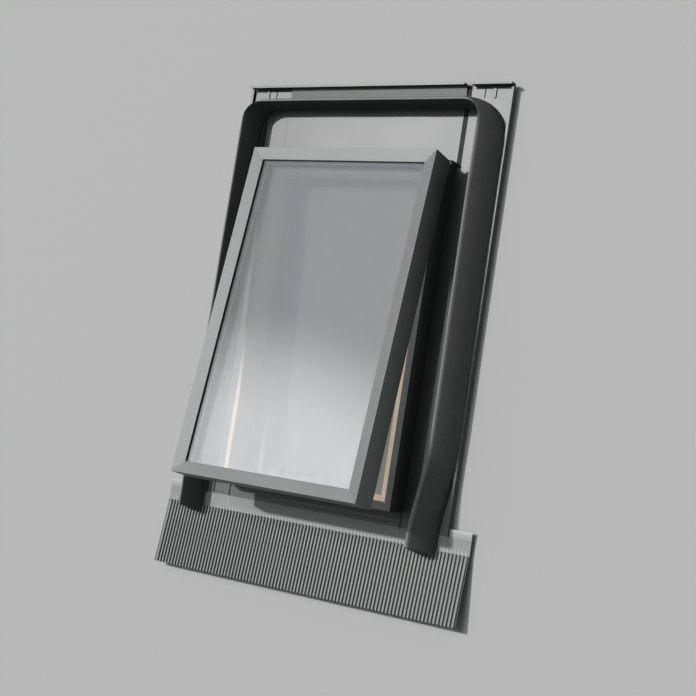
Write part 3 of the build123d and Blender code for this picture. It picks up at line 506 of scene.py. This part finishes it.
# Sections of one half, from the leg's end round a quarter circle to the middle of the bar. Each has its
# foot, the way outwards, the foot's width, and how far its inner side and its whole top lean outwards.
def foamSide(shape, side):
    radius = shape["innerRadius"]
    turnX, turnY = shape["innerHalf"] - radius, shape["barInner"] - radius
    legY = np.linspace(shape["footEnd"], turnY, shape["legSections"])[:-1]
    angle = np.linspace(0.0, np.pi / 2, shape["turnSections"])
    barX = np.linspace(turnX, 0.0, shape["barSections"])[1:]
    x = np.concatenate([np.full(legY.size, shape["innerHalf"]), turnX + radius * np.cos(angle), barX])
    y = np.concatenate([legY, turnY + radius * np.sin(angle), np.full(barX.size, shape["barInner"])])
    way = np.concatenate([np.zeros(legY.size), angle, np.full(barX.size, np.pi / 2)])
    outX, outY = np.cos(way), np.sin(way)
    # in the corner the width is the distance along the outward way to a circle of the outer radius
    outer = shape["outerRadius"]
    middleX = shape["innerHalf"] + shape["legWidth"] - outer
    middleY = shape["barInner"] + shape["barWidth"] - outer
    fromX, fromY = x - middleX, y - middleY
    along = fromX * outX + fromY * outY
    corner = np.sqrt(np.maximum(along ** 2 - fromX ** 2 - fromY ** 2 + outer ** 2, 0.0)) - along
    width = np.where(x < middleX - shape["barFrom"], shape["barWidth"], corner)
    width = np.where(y < middleY, shape["legWidth"], width)
    leg = outX ** 2           # 1 on the leg, 0 on the bar
    lean = shape["barLean"] + (shape["legLean"] - shape["barLean"]) * leg
    if side < 0:
        foot, topLean = shape["leftFoot"] * leg, shape["leftLean"] * leg
    else:
        spreading = shape["spread"] * easeIn(y, shape["spreadFrom"], shape["spreadTo"])
        foot = -shape["bend"] * easeIn(y, shape["bendFrom"], shape["bendTo"])
        topLean = (shape["rightLean"] + spreading) * leg
        width = width + spreading * leg
    return side * (x + foot), y, side * outX, outY, width, lean, topLean


# Each section's points, outwards from the foot and as a share of the height. The inner side leans by a
# power of the height. The outer side narrows towards the crest's share of the width by one less a power
# of the height, to a second power, and leans with the top. The foot closes it in two steps.
def foamSections(shape, width, lean, topLean):
    up = np.sin(np.linspace(0.0, np.pi / 2, shape["sideRows"]))
    first, second = shape["slopePowers"]
    leaning = up ** shape["leanPower"]
    inner = (lean + topLean)[:, None] * leaning
    share = shape["crestShare"] + (1.0 - shape["crestShare"]) * (1.0 - up ** first) ** second
    outer = width[:, None] * share + topLean[:, None] * leaning
    crest = (inner[:, -1:] + outer[:, -1:]) / 2
    under = width[:, None] * np.array(shape["footShares"])
    out = np.concatenate([inner, crest, outer[:, ::-1], under], axis=1)
    high = np.concatenate([up, [shape["crestRise"]], up[::-1], [0.0, 0.0]])
    return out, high


# The sections stand at right angles to the U's foot. They wobble by a sine of the place. Near the leg's
# end they slant back with the height, and the foot lifts over the start of the apron's ridges.
def foamGasketSkin(shape):
    halves = []
    rateX, rateY = shape["wobbleRates"]
    for side in (-1, 1):
        x, y, outX, outY, width, lean, topLean = foamSide(shape, side)
        out, up = foamSections(shape, width, lean, topLean)
        x, y, outX, outY = x[:, None], y[:, None], outX[:, None], outY[:, None]
        out = out + shape["wobble"] * np.sin(rateY * y + rateX * x) * up
        slant = (shape["crestEnd"] - shape["footEnd"]) * (1.0 - easeIn(y, shape["footEnd"], shape["slantTo"]))
        foot = shape["base"] + shape["lift"] * (1.0 - easeIn(y, shape["liftFrom"], shape["liftTo"]))
        z = foot + (shape["base"] + shape["height"] - foot) * up
        halves.append(np.stack([x + outX * out, y + outY * out + slant * up, z], axis=2))
    whole = np.concatenate([halves[0], halves[1][-2::-1]])
    points = whole.reshape(-1, 3)
    faces = turnedOut(points, sweepFaces(whole.shape[0], whole.shape[1]))
    skin = makeSkin("foamGasketSkin", points, faces, foamGrey, shape["sharp"])
    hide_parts("foam_gasket")
    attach(skin, "frame")


foamGasketSkin(foamShape)
print("foam skin")

# The pleated apron is a flat strip, and then a sheet that leans down and forwards, with ridges along it
apronShape = {
    "half": 0.4195, "level": 0.010, "stripTop": -0.39569, "foldY": -0.44669, "length": 0.155,
    "lean": math.radians(7.1), "thickness": 0.001,
    "first": -0.4145, "pitch": 0.00916, "ridge": 0.0056, "count": 91, "height": 0.004,
    "roundPowers": (3.0, 0.55), "rampLength": 0.0030,
    "slots": ((0.238, 0.241), (0.285, 0.288)), "slotFrom": -0.4125,
    # where points lie: across one ridge as shares of its width, on the ramp, on the sheet, near edges
    "ridgeShares": (0.0, 0.04, 0.12, 0.25, 0.4, 0.5, 0.6, 0.75, 0.88, 0.96, 1.0),
    "rampRows": (0.0, 0.0003, 0.0008, 0.0014, 0.0021), "sheetRows": (0.05, 0.10), "stripRow": -0.43,
    "stripEdge": 0.0006, "sheetEdge": 0.0008, "sharp": 50.0,
}


# Places across the sheet, each with its share of the ridge height: one less the distance from the
# ridge's middle to a power, to a second power
def apronColumns(shape):
    t = np.array(shape["ridgeShares"])
    first, second = shape["roundPowers"]
    pitch, ridge = shape["pitch"], shape["ridge"]
    starts = shape["first"] + pitch * np.arange(shape["count"]) + (pitch - ridge) / 2
    across = (starts[:, None] + ridge * t[None, :]).ravel()
    rise = np.tile((1.0 - np.abs(2.0 * t - 1.0) ** first) ** second, shape["count"])
    half, edge = shape["half"], shape["stripEdge"]
    sides = [side * place for side in (-1, 1) for slot in shape["slots"] for place in slot]
    x = np.unique(np.concatenate([across, [-half, edge - half, half - edge, half], sides]))
    return x, np.interp(x, across, rise)


# A grid: rows run down the flat strip and then down the leaning sheet, and the ridges grow by a sine
# over the ramp. Two narrow slots on each side are left open at the top of the strip.
def pleatedApronSheet(shape):
    x, rise = apronColumns(shape)
    strip = [shape["stripTop"], shape["stripTop"] - shape["stripEdge"], shape["slotFrom"], shape["stripRow"]]
    flat = np.zeros(len(strip))
    ends = [shape["length"] - shape["sheetEdge"], shape["length"]]
    down = np.concatenate([shape["rampRows"], [shape["rampLength"]], shape["sheetRows"], ends])
    y = np.concatenate([strip, shape["foldY"] - down * math.cos(shape["lean"])])
    z = shape["level"] + np.concatenate([flat, down * math.sin(shape["lean"])])
    grown = np.concatenate([flat, np.sin(np.clip(down / shape["rampLength"], 0.0, 1.0) * math.pi / 2)])
    ridge = grown[:, None] * rise[None, :]
    points = np.stack([np.broadcast_to(x, ridge.shape), np.broadcast_to(y[:, None], ridge.shape),
                       z[:, None] + shape["height"] * ridge], axis=2).reshape(-1, 3)
    middle = np.abs((x[1:] + x[:-1]) / 2)
    mask = np.any([(middle > low) & (middle < high) for low, high in shape["slots"]], axis=0)
    corner = np.arange(y.size - 1)[:, None] * x.size + np.arange(x.size - 1)[None, :]
    quads = np.stack([corner, corner + x.size, corner + x.size + 1, corner + 1], axis=2)
    kept = np.ones(corner.shape, dtype=bool)
    kept[y[:-1] > shape["slotFrom"]] = ~mask
    sheet = makeSkin("pleatedApronSheet", points, quads[kept].tolist(), apronGrey, shape["sharp"])
    pleated = np.concatenate([flat, down]) > 0.0
    shown = sheet.data.attributes.new("rise", "FLOAT", "POINT")
    shown.data.foreach_set("value", np.where(pleated[:, None], rise[None, :], 1.0).ravel())
    body = sheet.modifiers.new("sheetBody", "SOLIDIFY")
    body.thickness = shape["thickness"]
    body.offset = -1.0
    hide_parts("pleated_apron")
    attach(sheet, "frame")


pleatedApronSheet(apronShape)

hemShape = {"from": 0.3641, "height": 0.019, "rise": 0.0012, "bevel": (0.0003, 0.00024), "foldRows": 9,
            "sharp": 40.0}


# The folded ends of the strip: a flat section with a half circle along its upper edge and a small bevel at
# its lower edge, carried across from one place to the apron's side. Their paler paint is a painted highlight
# where the fold catches the sun.
def apronEndHems(shape, apron):
    turn = np.linspace(-math.pi / 2, math.pi / 2, shape["foldRows"])
    radius = shape["rise"] / 2
    foldY, foldZ = apron["stripTop"] - radius, apron["level"] + radius
    low, top = apron["stripTop"] - shape["height"], apron["level"] + shape["rise"]
    back, down = shape["bevel"]
    y = np.concatenate([[low], foldY + radius * np.cos(turn), [low + back, low]])
    z = np.concatenate([[apron["level"]], foldZ + radius * np.sin(turn), [top, top - down]])
    for side, name in ((-1, "apronEndHemLeft"), (1, "apronEndHemRight")):
        ends = (side * shape["from"], side * apron["half"])
        points = np.concatenate([np.column_stack([np.full(y.size, x), y, z]) for x in ends])
        faces = turnedOut(points, sweepFaces(2, y.size))
        hem = makeSkin(name, points, faces, hemHighlightGrey, shape["sharp"])
        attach(hem, "frame")


apronEndHems(hemShape, apronShape)
print("apron skin")

# The seal under the sash is a soft bulb on a flat foot. The sash is given closed, with its hinge line
# and the angle at which it stands open.
sealShape = {
    "inset": 0.019, "width": 0.0055, "depth": 0.046, "thickness": 0.0036, "foot": 0.0008,
    "bulbRows": 13, "sharp": 60.0,
    "sashHalf": 0.250, "sashLow": -0.3855, "sashHigh": 0.4120, "sashTop": 0.119,
    "hingeY": 0.4125, "hingeZ": 0.060, "open": math.radians(8.15),
}


# The bulb is half an ellipse under a short straight foot. The section is set at the sash's four corners,
# so that it is mitred there, and turned about the hinge line by the opening angle.
def sashSealBulb(shape):
    turn = np.linspace(0.0, math.pi, shape["bulbRows"])
    half = shape["width"] / 2
    across = np.concatenate([half - half * np.cos(turn), [shape["width"], 0.0]]) + shape["inset"]
    reach = (shape["thickness"] - shape["foot"]) * np.sin(turn) + shape["foot"]
    depth = np.concatenate([reach, [0.0, 0.0]]) + shape["depth"]
    fromZ = shape["sashTop"] - depth - shape["hingeZ"]
    c, s = math.cos(shape["open"]), math.sin(shape["open"])
    rings = []
    for sideX, sideY in ((-1, -1), (1, -1), (1, 1), (-1, 1)):
        x = sideX * (shape["sashHalf"] - across)
        fromY = (shape["sashLow"] + across if sideY < 0 else shape["sashHigh"] - across) - shape["hingeY"]
        y = shape["hingeY"] + fromY * c + fromZ * s
        z = shape["hingeZ"] - fromY * s + fromZ * c
        rings.append(np.column_stack([x, y, z]))
    points = np.concatenate(rings)
    faces = turnedOut(points, sweepFaces(len(rings), across.size, closed=True))
    bulb = makeSkin("sashSealBulb", points, faces, gasketRubber, shape["sharp"])
    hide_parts("sash_seal")
    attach(bulb, "sash")


sashSealBulb(sealShape)
print("seal skin")
